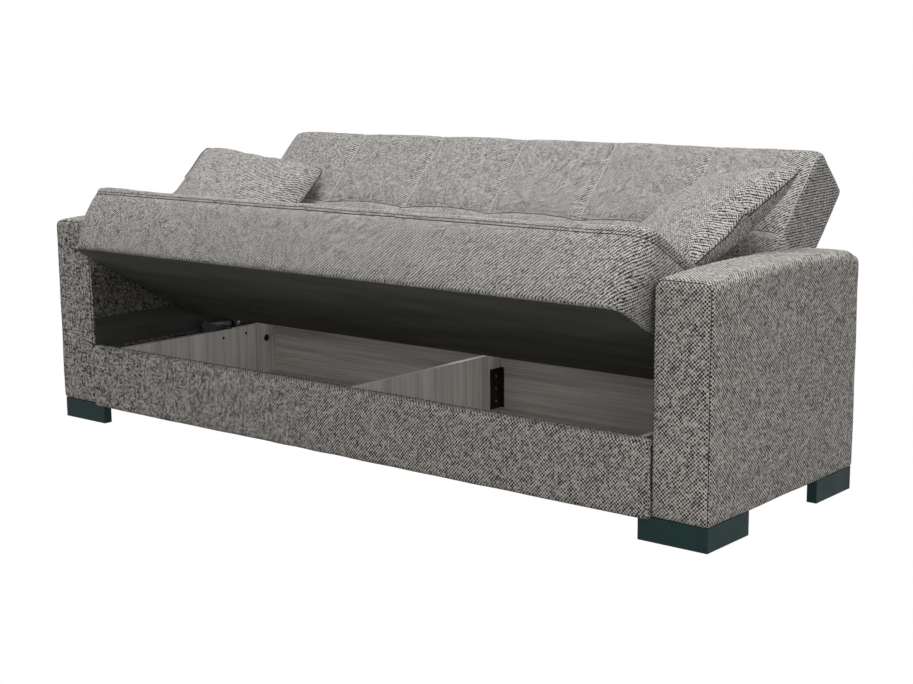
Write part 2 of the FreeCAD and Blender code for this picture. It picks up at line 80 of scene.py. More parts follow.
# Pillows: how they lie, as in the CAD model
pillow_cut = 0.434
pillow_spin = radians(17.5)
pillow_tilt = radians(33.0)
pillow_turn = radians(37.9)
pillow_centre = Vector((0.790, pivot.y - 0.040, pivot.z + 0.266))
pillow_shift = {"right_": Vector((0.012, 0.010, 0.009)), "left_": Vector((-0.010, -0.010, -0.004))}


# Node trees
class Graph:
    """Short way to write a node tree. Numbers and sockets both go straight into a node's inputs."""

    def __init__(self, tree):
        self.tree = tree

    def node(self, kind, inputs=None, **settings):
        made = self.tree.nodes.new("ShaderNode" + kind)
        for key, value in settings.items():
            setattr(made, key, value)
        for key, value in (inputs or {}).items():
            if isinstance(value, bpy.types.NodeSocket):
                self.tree.links.new(value, made.inputs[key])
            else:
                made.inputs[key].default_value = value
        return made

    def group(self, tree):
        return self.node("Group", node_tree=tree).outputs

    def math(self, operation, a, b=0.0, c=0.0):
        return self.node("Math", {0: a, 1: b, 2: c}, operation=operation).outputs[0]

    def blend(self, share, a, b):
        return self.node("Mix", {0: share, 2: a, 3: b}, data_type="FLOAT").outputs[0]

    def colours(self, share, a, b):
        return self.node("Mix", {0: share, 6: a, 7: b}, data_type="RGBA").outputs[2]

    def vector(self, x, y, z=0.0):
        return self.node("CombineXYZ", {0: x, 1: y, 2: z}).outputs[0]

    def stretched(self, u, by_u, v, by_v, offset=0.0):
        """Where to look up a noise that is longer along the surface one way than the other."""
        return self.vector(self.math("MULTIPLY", u, by_u), self.math("MULTIPLY", v, by_v), offset)

    def parts(self, vector):
        return self.node("SeparateXYZ", {0: vector}).outputs[:]

    def place(self):
        return self.node("TexCoord").outputs["Object"]

    def normal(self):
        return self.node("TexCoord").outputs["Normal"]

    def noise(self, place, scale, detail=2.0, roughness=0.5):
        inputs = {"Vector": place, "Scale": scale, "Detail": detail, "Roughness": roughness}
        return self.node("TexNoise", inputs).outputs[0]

    def spread(self, value, low, high, to_low=0.0, to_high=1.0):
        return self.node("MapRange", {0: value, 1: low, 2: high, 3: to_low, 4: to_high}).outputs[0]


def rgb(red, green, blue):
    return (red, green, blue, 1.0)


def darker(colour, share):
    return tuple(part * share for part in colour[:3]) + (1.0,)


def surface_coordinates(graph):
    """Two coordinates in metres along the surface, from the axis that it faces most.

    Gives them with the place and with whether the surface faces X."""
    top_weight = 1.7
    place = graph.place()
    x, y, z = graph.parts(place)
    nx, ny, nz = [graph.math("ABSOLUTE", part) for part in graph.parts(graph.normal())]
    nz = graph.math("MULTIPLY", nz, top_weight)
    faces_x = graph.math("GREATER_THAN", nx, graph.math("MAXIMUM", ny, nz))
    faces_z = graph.math("GREATER_THAN", nz, graph.math("MAXIMUM", nx, ny))
    return graph.blend(faces_x, x, y), graph.blend(faces_z, z, y), place, faces_x


# From right to left between these two places, the plain weave's slubs grow and its crossings fade
weave_right = 0.1
weave_left = -1.1


def weave_group(name, twill):
    """Two-tone weave, from plain with slubs (twill 0) to diagonal (twill 1). Gives a shade and a height."""
    yarn = 0.0046 - 0.0012 * twill
    rib = 0.0100
    wander_scale = 30.0
    wander_angle = 0.3
    crossing_share = 0.55 - 0.3 * twill
    rib_share = 0.28 * twill
    yarn_share = 0.55 + 0.15 * twill
    cell_share = 0.60 - 0.05 * twill
    contrast = 0.3
    tree = bpy.data.node_groups.new(name, "ShaderNodeTree")
    for socket in ("Shade", "Height"):
        tree.interface.new_socket(socket, in_out="OUTPUT", socket_type="NodeSocketFloat")
    graph = Graph(tree)
    u, v, place = surface_coordinates(graph)[:3]
    wander = graph.spread(graph.noise(place, wander_scale), 0.3, 0.7, -wander_angle, wander_angle)
    along = graph.math("SINE", graph.math("MULTIPLY_ADD", u, pi / yarn, wander))
    across = graph.math("SINE", graph.math("MULTIPLY_ADD", v, pi / yarn, wander))
    crossing = graph.math("MULTIPLY", along, across)
    slant = graph.math("SUBTRACT", u, v)
    diagonal = graph.math("SINE", graph.math("MULTIPLY_ADD", slant, 2 * pi / rib, wander))
    over = graph.spread(crossing, -0.4, 0.4)
    fine = 0.9 / yarn
    coarse = fine / 9.0
    weft = graph.noise(graph.stretched(u, coarse, v, fine), 1.0, 1.0)
    warp = graph.noise(graph.stretched(u, fine, v, coarse, 5.0), 1.0, 1.0)
    yarns = graph.blend(over, weft, warp)
    turn = graph.math("DIVIDE", wander, pi)
    cells = [graph.math("FLOOR", graph.math("MULTIPLY_ADD", way, 1 / yarn, turn)) for way in (u, v)]
    cell = {"Vector": graph.vector(*cells)}
    speck = graph.node("TexWhiteNoise", cell, noise_dimensions="2D").outputs["Value"]
    side = graph.parts(place)[0]
    if not twill:
        even = graph.spread(side, weave_left, weave_right, 0.3, 1.0)
        crossing_share = graph.math("MULTIPLY", even, crossing_share)
    crossed = graph.math("MULTIPLY", crossing, crossing_share)
    pattern = graph.math("ADD", crossed, graph.math("MULTIPLY", diagonal, rib_share))
    shade = graph.math("MULTIPLY_ADD", graph.math("SUBTRACT", yarns, 0.5), yarn_share, pattern)
    shade = graph.math("MULTIPLY_ADD", graph.math("SUBTRACT", speck, 0.5), cell_share, shade)
    if not twill:
        rows = graph.noise(graph.stretched(u, 24.0, v, 230.0, 11.0), 1.0, 1.0)
        columns = graph.noise(graph.stretched(u, 170.0, v, 24.0, 17.0), 1.0, 1.0)
        slubs = graph.math("SUBTRACT", graph.math("ADD", rows, columns), 1.0)
        slub_share = graph.spread(side, weave_left, weave_right, 0.5, 0.25)
        shade = graph.math("MULTIPLY_ADD", slubs, slub_share, shade)
    out = tree.nodes.new("NodeGroupOutput")
    tree.links.new(graph.spread(shade, -contrast, contrast), out.inputs["Shade"])
    tree.links.new(graph.math("MULTIPLY_ADD", shade, 0.5, 0.5), out.inputs["Height"])
    return tree


def new_material(name):
    material = bpy.data.materials.new(name)
    material.use_nodes = True
    graph = Graph(material.node_tree)
    return material, graph, material.node_tree.nodes["Principled BSDF"]


def link(graph, socket, target):
    graph.tree.links.new(socket, target)


def bump(graph, height, distance, strength):
    return graph.node("Bump", {"Height": height, "Distance": distance, "Strength": strength}).outputs[0]


def fabric(name, dark, light, weave, painted_shadow_share=1.0):
    """Woven cloth. Faces in the plane of the arms' inner faces, towards the storage space, get painted
    shadow: they darken downwards to the last argument's share of their colour.
    """
    painted_shadow_top = 0.55
    painted_shadow_bottom = 0.42
    face_margin = 0.0014
    material, graph, shader = new_material(name)
    woven = graph.group(weave)
    colour = graph.colours(woven["Shade"], dark, light)
    # Painted shadow under the lifted seat: the arms' inner faces darken towards black between the two
    # heights above.
    if painted_shadow_share < 1:
        parts = graph.parts(graph.place())
        compared = {0: graph.math("ABSOLUTE", parts[0]), 1: inner_arm_face, 2: face_margin}
        shadowed_inner_face = graph.node("Math", compared, operation="COMPARE").outputs[0]
        depth = graph.spread(parts[2], painted_shadow_bottom, painted_shadow_top, 1.0 - painted_shadow_share, 0.0)
        colour = graph.colours(graph.math("MULTIPLY", shadowed_inner_face, depth), colour, rgb(0.0, 0.0, 0.0))
    link(graph, colour, shader.inputs["Base Color"])
    link(graph, bump(graph, woven["Height"], 0.0012, 0.8), shader.inputs["Normal"])
    shader.inputs["Roughness"].default_value = 0.92
    shader.inputs["Specular IOR Level"].default_value = 0.15
    shader.inputs["Sheen Weight"].default_value = 0.12
    shader.inputs["Sheen Roughness"].default_value = 0.5
    return material


def lining_cloth(name, dark, light):
    """Thin spun lining: fine speckle, faint long creases."""
    material, graph, shader = new_material(name)
    u, v, place = surface_coordinates(graph)[:3]
    speck = graph.noise(place, 700.0, 2.0, 0.6)
    streak = graph.noise(graph.stretched(u, 3.0, v, 14.0), 1.0, 3.0)
    shade = graph.math("MULTIPLY_ADD", speck, 0.35, graph.math("MULTIPLY", streak, 0.65))
    link(graph, graph.colours(graph.spread(shade, 0.3, 0.7), dark, light), shader.inputs["Base Color"])
    link(graph, bump(graph, speck, 0.0004, 0.6), shader.inputs["Normal"])
    shader.inputs["Roughness"].default_value = 0.75
    shader.inputs["Specular IOR Level"].default_value = 0.25
    return material


def woodgrain(name, dark, light, edging, edge_height):
    """Printed woodgrain board, upright grain where it faces X.

    What looks up is pale edging above edge_height, and below it a floor darkened by painted shade."""
    painted_shade_colour = rgb(0.05, 0.05, 0.05)
    painted_shade_share = 0.15
    material, graph, shader = new_material(name)
    u, v, place, faces_x = surface_coordinates(graph)
    along = graph.blend(faces_x, u, v)
    across = graph.blend(faces_x, v, u)
    grain = graph.noise(graph.stretched(along, 3.0, across, 230.0), 1.0, 3.0, 0.6)
    bands = graph.noise(graph.stretched(along, 1.2, across, 34.0, 3.0), 1.0, 2.0)
    shade = graph.math("MULTIPLY_ADD", grain, 0.6, graph.math("MULTIPLY", bands, 0.4))
    board = graph.colours(graph.spread(shade, 0.36, 0.64), dark, light)
    looks_up = graph.math("GREATER_THAN", graph.parts(graph.normal())[2], 0.9)
    above = graph.math("GREATER_THAN", graph.parts(place)[2], edge_height)
    on_edge = graph.math("MULTIPLY", looks_up, above)
    # Painted shade: up-facing board below the edging, the floor of the box under the seat, darkens a little
    # towards near black.
    shaded_box_floor = graph.math("MULTIPLY", graph.math("SUBTRACT", looks_up, on_edge), painted_shade_share)
    board = graph.colours(shaded_box_floor, board, painted_shade_colour)
    link(graph, graph.colours(on_edge, board, edging), shader.inputs["Base Color"])
    link(graph, bump(graph, grain, 0.0002, 0.4), shader.inputs["Normal"])
    link(graph, graph.spread(grain, 0.3, 0.7, 0.38, 0.55), shader.inputs["Roughness"])
    return material


def steel(name, colour):
    """Zinc-plated steel: cloudy spangle, fine scratches, and the sides of plates, the faces that look along
    X, made nearly black.
    """
    side_dark = rgb(0.01, 0.01, 0.01)
    side_dark_share = 0.85
    material, graph, shader = new_material(name)
    u, v, place = surface_coordinates(graph)[:3]
    cloud = graph.noise(place, 60.0, 3.0)
    scratch = graph.noise(graph.stretched(u, 40.0, v, 900.0), 1.0, 2.0)
    plated = graph.colours(graph.spread(cloud, 0.35, 0.65), darker(colour, 0.7), colour)
    sideways = graph.math("ABSOLUTE", graph.parts(graph.normal())[0])
    # The faces that look along X are darkened nearly to black.
    side_darkening = graph.spread(sideways, 0.97, 0.99, 0.0, side_dark_share)
    link(graph, graph.colours(side_darkening, plated, side_dark), shader.inputs["Base Color"])
    link(graph, graph.spread(scratch, 0.3, 0.7, 0.25, 0.5), shader.inputs["Roughness"])
    link(graph, bump(graph, scratch, 0.0001, 0.4), shader.inputs["Normal"])
    shader.inputs["Metallic"].default_value = 1.0
    return material


def moulded(name, dark, light, roughness):
    """Moulded or lacquered surface with a slight orange-peel and soft colour change."""
    rough_change = 0.08
    material, graph, shader = new_material(name)
    place = graph.place()
    cloud = graph.noise(place, 14.0, 3.0)
    peel = graph.noise(place, 350.0, 2.0)
    rough = graph.spread(cloud, 0.3, 0.7, roughness - rough_change, roughness + rough_change)
    link(graph, graph.colours(graph.spread(cloud, 0.35, 0.65), dark, light), shader.inputs["Base Color"])
    link(graph, rough, shader.inputs["Roughness"])
    link(graph, bump(graph, peel, 0.0002, 0.3), shader.inputs["Normal"])
    shader.inputs["Specular IOR Level"].default_value = 0.2
    return material


def timber_material(name, dark, light):
    """Sawn softwood with a long grain."""
    material, graph, shader = new_material(name)
    u, v = surface_coordinates(graph)[:2]
    grain = graph.noise(graph.stretched(u, 8.0, v, 160.0), 1.0, 4.0)
    link(graph, graph.colours(graph.spread(grain, 0.35, 0.65), dark, light), shader.inputs["Base Color"])
    link(graph, bump(graph, grain, 0.0005, 0.5), shader.inputs["Normal"])
    shader.inputs["Roughness"].default_value = 0.75
    return material


def foam_material(name, colour):
    """Cut foam with fine cells."""
    material, graph, shader = new_material(name)
    cells = graph.noise(graph.place(), 500.0, 2.0)
    base = graph.colours(graph.spread(cells, 0.3, 0.7), darker(colour, 0.8), colour)
    link(graph, base, shader.inputs["Base Color"])
    link(graph, bump(graph, cells, 0.0008, 0.6), shader.inputs["Normal"])
    shader.inputs["Roughness"].default_value = 0.95
    return material


diagonal_weave = weave_group("diagonal_weave", 1.0)
plain_weave = weave_group("plain_weave", 0.0)
inner_arm_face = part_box("right_arm_cover")[0].x
edge_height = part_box("box_partition")[1].z - 0.01
seat_yarns = (rgb(0.02, 0.018, 0.016), rgb(0.62, 0.60, 0.57))
arm_yarns = (rgb(0.012, 0.010, 0.008), rgb(0.66, 0.622, 0.58))
print_tones = (rgb(0.47, 0.44, 0.41), rgb(0.88, 0.84, 0.80))
edging_white = rgb(0.9, 0.89, 0.87)
materials = {
    "seat_fabric": fabric("seat_fabric", *seat_yarns, diagonal_weave),
    # The arms' cloth gets painted shadow on their inner faces, down to 0.3 of its colour.
    "arm_fabric": fabric("arm_fabric", *arm_yarns, plain_weave, 0.3),
    "black_cloth": lining_cloth("black_cloth", rgb(0.020, 0.020, 0.019), rgb(0.080, 0.080, 0.075)),
    "foam": foam_material("foam", rgb(0.75, 0.7, 0.55)),
    "timber": timber_material("timber", rgb(0.35, 0.24, 0.14), rgb(0.62, 0.47, 0.3)),
    "melamine": woodgrain("melamine", *print_tones, edging_white, edge_height),
    "foot_plastic": moulded("foot_plastic", rgb(0.008, 0.026, 0.026), rgb(0.014, 0.04, 0.039), 0.6),
    "black_plastic": moulded("black_plastic", rgb(0.01, 0.01, 0.01), rgb(0.02, 0.02, 0.02), 0.45),
    "zinc_steel": steel("zinc_steel", rgb(0.32, 0.32, 0.32)),
    # Welt: a real cord, drawn paler than the cover. The paler tone is painted highlight along the raised
    # seams.
    "welt": lining_cloth("welt", rgb(0.36, 0.345, 0.325), rgb(0.60, 0.58, 0.55)),
    "thread": lining_cloth("thread", rgb(0.03, 0.028, 0.025), rgb(0.07, 0.065, 0.06)),
}
for name, node in frame["nodes"].items():
    for place in node.material_slots:
        place.material = materials[node_slot[name]]


# Meshes
def mesh_object(name, points, faces, slot, smooth=True):
    """Mesh with the material of its slot."""
    mesh = bpy.data.meshes.new(name)
    mesh.from_pydata([tuple(p) for p in points], [], [tuple(f) for f in faces])
    mesh.validate()
    mesh.update()
    mesh.polygons.foreach_set("use_smooth", [smooth] * len(mesh.polygons))
    piece = bpy.data.objects.new(name, mesh)
    bpy.context.scene.collection.objects.link(piece)
    mesh.materials.append(materials[slot])
    return piece


def lattice_box(low, high, step):
    """Points and quads of a closed box whose faces are grids of about step."""
    counts = [max(2, round((high[a] - low[a]) / step)) for a in range(3)]
    found = {}
    points = []
    faces = []

    def corner(key):
        if key not in found:
            found[key] = len(points)
            points.append([low[a] + (high[a] - low[a]) * key[a] / counts[a] for a in range(3)])
        return found[key]

    for axis in range(3):
        b = (axis + 1) % 3
        c = (axis + 2) % 3
        for side in (0, counts[axis]):
            for i in range(counts[b]):
                for j in range(counts[c]):
                    quad = []
                    for di, dj in ((0, 0), (1, 0), (1, 1), (0, 1)):
                        key = [0, 0, 0]
                        key[axis] = side
                        key[b] = i + di
                        key[c] = j + dj
                        quad.append(corner(tuple(key)))
                    faces.append(quad if side else quad[::-1])
    return np.array(points), faces


def round_edges(points, axes, low, high, radii):
    """Rounds the four edges along the third axis, in the order low-low, high-low, high-high, low-high."""
    a, b = axes
    for (side_a, side_b), radius in zip(((-1, -1), (1, -1), (1, 1), (-1, 1)), radii):
        centre_a = (high[a] - radius) if side_a > 0 else (low[a] + radius)
        centre_b = (high[b] - radius) if side_b > 0 else (low[b] + radius)
        da = (points[:, a] - centre_a) * side_a
        db = (points[:, b] - centre_b) * side_b
        pick = (da > 0) & (db > 0)
        scale = np.maximum(da[pick], db[pick]) / np.hypot(da[pick], db[pick])
        points[pick, a] = centre_a + side_a * da[pick] * scale
        points[pick, b] = centre_b + side_b * db[pick] * scale


def smooth_step(value, start, end):
    t = np.clip((value - start) / (end - start), 0, 1)
    return t * t * (3 - 2 * t)


def unevenness(points, size, amount, seed):
    """Soft lumps of cloth over foam: one number for each point."""
    offset = Vector((seed, 2.0 * seed, 3.0 * seed))
    return np.array([noise.noise(Vector(p) / size + offset) for p in points]) * amount


def outward(points, faces):
    """Outward unit normals at the points of a closed mesh."""
    mesh = bpy.data.meshes.new("normals")
    mesh.from_pydata([tuple(p) for p in points], [], faces)
    mesh.update()
    normals = np.array([v.normal for v in mesh.vertices])
    bpy.data.meshes.remove(mesh)
    return normals


def local_box(node, turn):
    """Lowest and highest corner of a CAD node about the pivot, with its turn taken back."""
    points = np.array([v.co for v in frame["nodes"][node].data.vertices]) - np.array(pivot)
    x, y, z = points.T
    turned_back = np.column_stack([x, cos(turn) * y - sin(turn) * z, sin(turn) * y + cos(turn) * z])
    return turned_back.min(0), turned_back.max(0)


def put_in_place(piece, turn):
    """Turns a piece that is drawn about the pivot and moves it there."""
    piece.matrix_world = Matrix.Translation(pivot) @ Matrix.Rotation(-turn, 4, "X")
    bpy.context.view_layer.update()


def tube(name, points, radius, slot, sides=6, closed=False):
    """Round tube along points, with closed ends."""
    path = [Vector(p) for p in points]
    count = len(path)
    verts = []
    side = None
    for i, point in enumerate(path):
        before = path[i - 1] if i > 0 or closed else point
        after = path[(i + 1) % count] if i < count - 1 or closed else point
        heading = (after - before).normalized()
        if side is None:
            side = heading.orthogonal().normalized()
        side = (side - heading * side.dot(heading)).normalized()
        other = heading.cross(side)
        for k in range(sides):
            angle = 2 * pi * k / sides
            verts.append(point + (side * cos(angle) + other * sin(angle)) * radius)
    faces = []
    for i in range(count if closed else count - 1):
        j = (i + 1) % count
        for k in range(sides):
            n = (k + 1) % sides
            faces.append((i * sides + k, i * sides + n, j * sides + n, j * sides + k))
    if not closed:
        faces.append(tuple(reversed(range(sides))))
        faces.append(tuple((count - 1) * sides + k for k in range(sides)))
    return mesh_object(name, verts, faces, slot)


def surface_points(piece, starts, direction, lift=0.0):
    """Where rays from the starts first meet the piece, all in the piece's own coordinates."""
    mesh = piece.evaluated_get(bpy.context.evaluated_depsgraph_get()).to_mesh()
    corners = [v.co.copy() for v in mesh.vertices]
    tree = BVHTree.FromPolygons(corners, [tuple(p.vertices) for p in mesh.polygons])
    ways = direction if isinstance(direction, list) else [direction] * len(starts)
    found = []
    for start, way in zip(starts, ways):
        place, normal = tree.ray_cast(Vector(start), Vector(way))[:2]
        if place is not None:
            found.append(place + normal * lift)
    return found


def subdivide(piece):
    """One level of smoothing, the same in the viewport and in renders."""
    modifier = piece.modifiers.new("smooth", "SUBSURF")
    modifier.levels = 1
    modifier.render_levels = 1


def inflate(piece, frames, pressure, cap):
    """Swells a closed mesh like stuffed cloth, then keeps the result. No point moves further than cap."""
    stiffness = 15.0
    still = 1e-9
    start = np.array([v.co for v in piece.data.vertices])
    modifier = piece.modifiers.new("cloth", "CLOTH")
    settings = modifier.settings
    settings.quality = 5
    settings.mass = 0.3
    settings.tension_stiffness = stiffness
    settings.compression_stiffness = stiffness
    settings.shear_stiffness = stiffness / 3
    settings.bending_stiffness = 0.5
    settings.use_pressure = True
    settings.uniform_pressure_force = pressure
    settings.effector_weights.gravity = 0
    modifier.collision_settings.use_collision = False
    modifier.point_cache.frame_start = 1
    modifier.point_cache.frame_end = frames
    for number in range(1, frames + 1):
        bpy.context.scene.frame_set(number)
    swollen = piece.evaluated_get(bpy.context.evaluated_depsgraph_get()).to_mesh()
    end = np.array([v.co for v in swollen.vertices])
    piece.modifiers.remove(modifier)
    move = end - start
    length = np.linalg.norm(move, axis=1)
    limited = cap * np.tanh(length / cap)
    scale = np.where(length > still, limited / np.maximum(length, still), 0)
    final = start + move * scale[:, None]
    piece.data.vertices.foreach_set("co", final.ravel())
    piece.data.update()
    bpy.context.scene.frame_set(1)


def grid_quads(across, rows):
    """Quads of a grid whose points are listed row by row."""
    step = across + 1
    corners = [j * step + i for j in range(rows) for i in range(across)]
    return [(a, a + 1, a + step + 1, a + step) for a in corners]


# Arms
arm_edge = 0.026
arm_rear = 0.042
arm_crown = 0.012
arm_step = 0.011


def arm(side):
    """Padded block: crowned top, slightly full faces. The inner face stays flat."""
    low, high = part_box(side + "arm_cover")
    fullness = 0.0015
    crown_reach = 0.16
    foot_radius = 0.004
    top_front_radius = 0.012
    upright_radius = 0.010
    points, faces = lattice_box(low, high, arm_step)
    round_edges(points, (0, 2), low, high, (foot_radius, foot_radius, arm_edge, arm_edge))
    round_edges(points, (1, 2), low, high, (foot_radius, foot_radius, arm_rear, top_front_radius))
    round_edges(points, (0, 1), low, high, (upright_radius,) * 4)
    share = (points[:, 1] - low.y) / (high.y - low.y)
    upper = smooth_step(points[:, 2], high.z - crown_reach, high.z)
    points[:, 2] -= upper * arm_crown * (2 * share - 1) ** 2
    normals = outward(points, faces)
    middle = (points - np.array(low)) / (np.array(high) - np.array(low)) * 2 - 1
    x, y, z = np.abs(middle).T
    puff = (1 - x ** 4) * (1 - z ** 4) + (1 - y ** 6) * (1 - z ** 4)
    lumps = unevenness(points, size=0.11, amount=0.0016, seed=3.0 if side == "right_" else 8.0)
    inner = -normals[:, 0] if side == "right_" else normals[:, 0]
    padded_share = 1 - smooth_step(inner, 0.5, 0.9)
    points += normals * ((fullness * puff + lumps) * padded_share)[:, None]
    piece = mesh_object(side + "arm_upholstery", points, faces, "arm_fabric")
    subdivide(piece)
    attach(piece, "base")
    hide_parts(side + "arm_cover", side + "arm_top_pad")
    return piece


arm_pieces = [arm("right_"), arm("left_")]


# Front panel
def front_panel():
    """Fabric over a board, with the rounder edges at its top."""
    low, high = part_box("front_panel_cover")
    step = 0.012
    front_bottom = 0.006
    rear_bottom = 0.002
    top_radius = 0.014
    points, faces = lattice_box(low, high, step)
    round_edges(points, (1, 2), low, high, (front_bottom, rear_bottom, top_radius, top_radius))
    normals = outward(points, faces)
    points += normals * unevenness(points, size=0.09, amount=0.0016, seed=5.0)[:, None]
    piece = mesh_object("front_panel_upholstery", points, faces, "arm_fabric")
    subdivide(piece)
    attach(piece, "base")
    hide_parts("front_panel_cover")
    return piece


panel_piece = front_panel()


# Seat
seat_low, seat_high = local_box("seat_cover", seat_turn)
seat_seam_drop = 0.026
seat_step = 0.013
seat_rear_slope = 0.025


def seat_cushion():
    """Cushion with a seam below its top edge, full sides, and a rear that slopes in towards the bottom."""
    low = seat_low
    high = seat_high
    front_flare = 0.016
    end_rise = 0.006
    side_bulge = 0.006
    seam_depth = 0.003
    bottom_radius = 0.0025
    rear_bottom = 0.004
    rear_top = 0.047
    front_top = 0.028
    end_radius = 0.010
    front_corner = 0.050
    rear_corner = 0.020
    points, faces = lattice_box(low, high, seat_step)
    round_edges(points, (1, 2), low, high, (bottom_radius, rear_bottom, rear_top, front_top))
    round_edges(points, (0, 2), low, high, (bottom_radius, bottom_radius, end_radius, end_radius))
    round_edges(points, (0, 1), low, high, (front_corner, front_corner, rear_corner, rear_corner))
    rearward = smooth_step(points[:, 1], high[1] - 0.12, high[1])
    points[:, 1] -= rearward * seat_rear_slope * np.clip(points[:, 2] / low[2], 0, 1)
    forward = smooth_step(-points[:, 1], 0.22, 0.30) * smooth_step(points[:, 2], low[2], low[2] + 0.12)
    points[:, 0] *= 1 + front_flare * forward
    top = smooth_step(points[:, 2], high[2] - 0.06, high[2])
    points[:, 2] += end_rise * top * smooth_step(np.abs(points[:, 0]), 0.6, 0.9)
    normals = outward(points, faces)
    seam_z = high[2] - seat_seam_drop
    height = (points[:, 2] - low[2]) / (seam_z - low[2])
    bulge = np.where(height < 1, 1 - np.abs(2 * np.clip(height, 0, 1) - 1) ** 2.5, 0)
    side_facing = 1 - np.abs(normals[:, 2]) ** 2
    seam = np.exp(-(((points[:, 2] - seam_z) / groove_width) ** 2)) * side_facing
    front = smooth_step(-points[:, 1], -high[1] + 0.05, -high[1] + 0.2)
    lumps = unevenness(points, size=0.14, amount=0.003, seed=11.0)
    lumps += unevenness(points, size=0.05, amount=0.0012, seed=4.0)
    above_rails = smooth_step(points[:, 2], low[2] + 0.02, low[2] + 0.1)
    shaped = side_bulge * bulge * side_facing * front - seam_depth * seam * front
    points += normals * (shaped + lumps * above_rails)[:, None]
    piece = mesh_object("seat_upholstery", points, faces, "seat_fabric")
    subdivide(piece)
    put_in_place(piece, seat_turn)
    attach(piece, "seat")
    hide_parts("seat_cover", "seat_foam")
    return piece


seat_piece = seat_cushion()


# Back
back_low, back_high = local_box("back_cover", back_turn)
back_seam_height = 0.294
back_arch = 0.012
column_width = 0.315
back_crown = 0.005
back_step = 0.0115
seam_places = [column_width * k for k in range(-2, 3)]


def column_share(x):
    """Place across a column, from 0 at one seam to 1 at the next."""
    return np.mod(x / column_width, 1.0)


def cross_seam(x):
    """Height of the horizontal seam: it dips at each vertical seam and arches between them."""
    share = column_share(np.clip(x, -0.94, 0.94))
    return back_seam_height - back_arch + back_arch * (1 - np.abs(2 * share - 1) ** 2.2)


def back_cushion():
    """Cushion with six sewn columns above the cross seam and a plain band below it."""
    low = back_low
    high = back_high
    fullness = 0.009
    crease_depth = 0.006
    front_bottom = 0.050
    rear_bottom = 0.008
    rear_top = 0.026
    front_top = 0.030
    lower_corner = 0.024
    upper_corner = 0.022
    front_upright = 0.020
    rear_upright = 0.006
    points, faces = lattice_box(low, high, back_step)
    rows = np.unique(points[:, 2])
    columns = np.unique(points[:, 0])
    for seam in seam_places:
        nearest = columns[np.argmin(np.abs(columns - seam))]
        points[:, 0] += (seam - nearest) * np.clip(1 - np.abs(points[:, 0] - nearest) / 0.03, 0, 1)
    nearest = rows[np.argmin(np.abs(rows - back_seam_height))]
    points[:, 2] += (cross_seam(points[:, 0]) - nearest) * np.exp(-(((points[:, 2] - nearest) / 0.05) ** 2))
    round_edges(points, (1, 2), low, high, (front_bottom, rear_bottom, rear_top, front_top))
    round_edges(points, (0, 2), low, high, (lower_corner, lower_corner, upper_corner, upper_corner))
    round_edges(points, (0, 1), low, high, (front_upright, front_upright, rear_upright, rear_upright))
    normals = outward(points, faces)
    x = points[:, 0]
    y = points[:, 1]
    z = points[:, 2]
    front = smooth_step(-y, -(low[1] + 0.11), -(low[1] + 0.055))
    share = column_share(x)
    line = cross_seam(x)
    above = smooth_step(z, line - 0.004, line + 0.004)
    to_column = np.minimum(share, 1 - share) * column_width
    to_line = np.abs(z - line)
    crease = np.exp(-((to_column / 0.010) ** 2)) * above
    crease = np.maximum(crease, np.exp(-((to_line / 0.008) ** 2)))
    panel = (1 - np.exp(-to_column / 0.035)) * above + (1 - above)
    panel *= 1 - np.exp(-to_line / 0.03)
    lumps = unevenness(points, size=0.12, amount=0.003, seed=21.0)
    lumps += unevenness(points, size=0.045, amount=0.0012, seed=14.0)
    level = 1 - 0.75 * smooth_step(z, high[2] - 0.07, high[2] - 0.02)
    shaped = front * level * (fullness * panel - crease_depth * crease)
    points += normals * (shaped + lumps * 0.8)[:, None]
    across = np.abs(points[:, 0]) / high[0]
    upper = smooth_step(points[:, 2], high[2] - 0.2, high[2])
    points[:, 2] -= upper * back_crown * across ** 2
    piece = mesh_object("back_upholstery", points, faces, "seat_fabric")
    subdivide(piece)
    put_in_place(piece, back_turn)
    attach(piece, "back")
    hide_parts("back_cover", "back_foam")
    return piece


back_piece = back_cushion()


# Stitching. Rays that find the surface start this far outside it
ray_start = 0.2
corner_ray_start = 0.3


def stitch(name, piece, starts, ways, slot, rider, radius=seam_radius, lift=0.0):
    """Thread or welt laid along the place where rays from the starts meet the piece."""
    seam = tube(name, surface_points(piece, starts, ways, lift), radius, slot, sides=5)
    seam.matrix_world = piece.matrix_world.copy()
    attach(seam, rider)


def arm_seam(piece, side):
    """Seam round the front face, just behind its edge: up, over the top and down."""
    low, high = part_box(side + "arm_cover")
    inset = 0.0045
    radius = arm_edge - inset
    x0 = low.x + inset
    x1 = high.x - inset
    z0 = low.z + 0.008
    z1 = high.z - arm_crown - inset
    bend_z = z1 - radius
    width = x1 - x0 - 2 * radius
    upright = [z0 + (bend_z - z0) * k / 40 for k in range(41)]
    angles = [pi / 2 * k / 8 for k in range(8)]
    outline = [(x0, z) for z in upright[:-1]]
    outline += [(x0 + radius - radius * cos(a), bend_z + radius * sin(a)) for a in angles]
    outline += [(x0 + radius + width * k / 10, z1) for k in range(10)]
    outline += [(x1 - radius + radius * sin(a), bend_z + radius * cos(a)) for a in angles]
    outline += [(x1, z) for z in reversed(upright)]
    starts = [(x, low.y - ray_start, z) for x, z in outline]
    stitch(side + "arm_seam", piece, starts, (0, 1, 0), "thread", "base")


